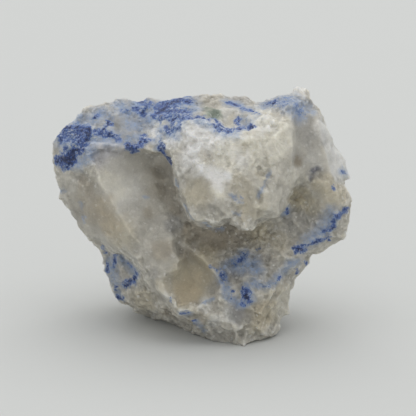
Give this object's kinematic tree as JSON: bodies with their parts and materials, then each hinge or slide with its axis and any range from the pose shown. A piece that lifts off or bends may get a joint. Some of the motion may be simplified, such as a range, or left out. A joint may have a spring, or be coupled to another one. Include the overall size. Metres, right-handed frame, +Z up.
{
  "type": "dumortierite in quartz",
  "caption": "Broken lump of milky quartz with a blocky overhang, a shell-like hollow beside it and a narrow foot, speckled with blue dumortierite; lies on a small flat patch.",
  "frame": {"origin": "middle of the stone's width and depth, at the height of the flat patch that it rests on", "axes": "+X to the right along its greatest width as seen from the front, +Y away from the viewer, +Z up"},
  "size_m": [0.0504, 0.0286, 0.041],
  "materials": {
    "milky_quartz": "broken milky quartz, partly glassy and partly sugary, with deep blue and pale blue patches"
  },
  "bodies": {
    "root": {"quartz_stone": "milky_quartz"}
  },
  "joints": []
}
